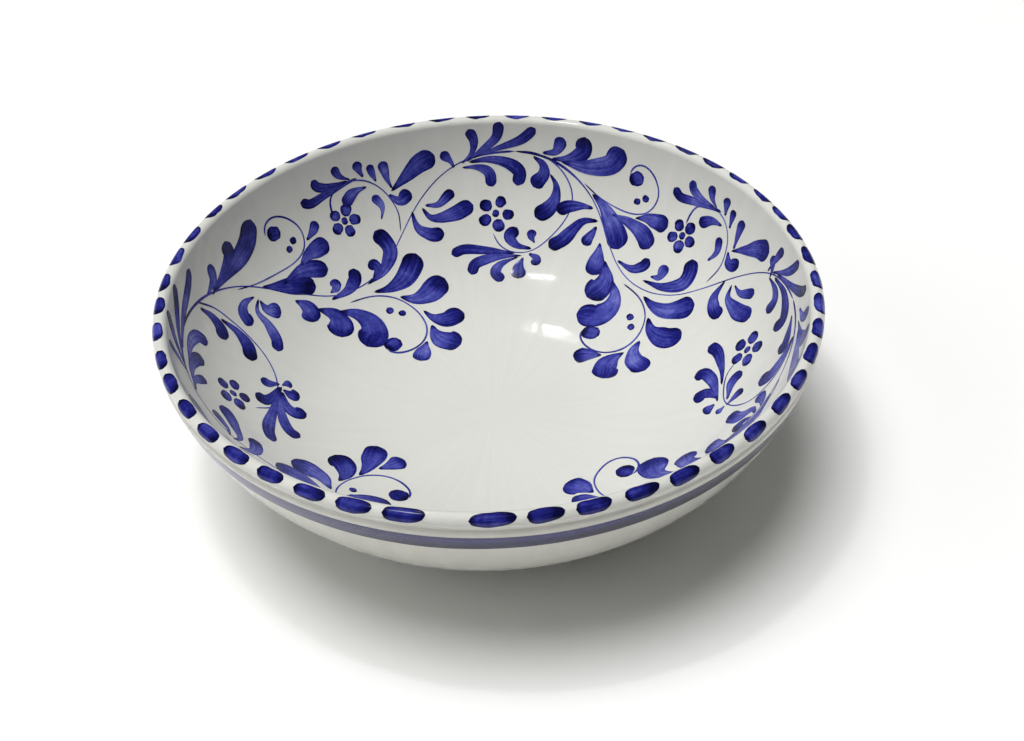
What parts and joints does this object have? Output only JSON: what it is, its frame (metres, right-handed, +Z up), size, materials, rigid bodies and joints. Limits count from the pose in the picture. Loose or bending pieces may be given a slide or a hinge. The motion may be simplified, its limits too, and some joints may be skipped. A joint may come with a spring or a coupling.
{
  "type": "serving bowl",
  "caption": "Round glazed ceramic serving bowl on a foot ring, with a rolled lip, brushed cobalt dashes on the lip and a cobalt band outside.",
  "frame": {"origin": "centre of the plane the foot ring stands on", "axes": "+Z up along the axis of the bowl; -Y is the front, where the row of lip dashes begins and ends"},
  "size_m": [0.3306, 0.3306, 0.098],
  "materials": {
    "fired_clay": "unglazed, matt",
    "white_glaze": "gloss",
    "cobalt_paint": "gloss"
  },
  "bodies": {
    "root": {"clay_bowl": "fired_clay", "lip_roll": "fired_clay", "foot_ring": "fired_clay", "inside_glaze": "white_glaze", "outside_glaze": "white_glaze", "recess_glaze": "white_glaze", "outside_band": "cobalt_paint", "lip_dashes": "cobalt_paint"}
  },
  "joints": []
}
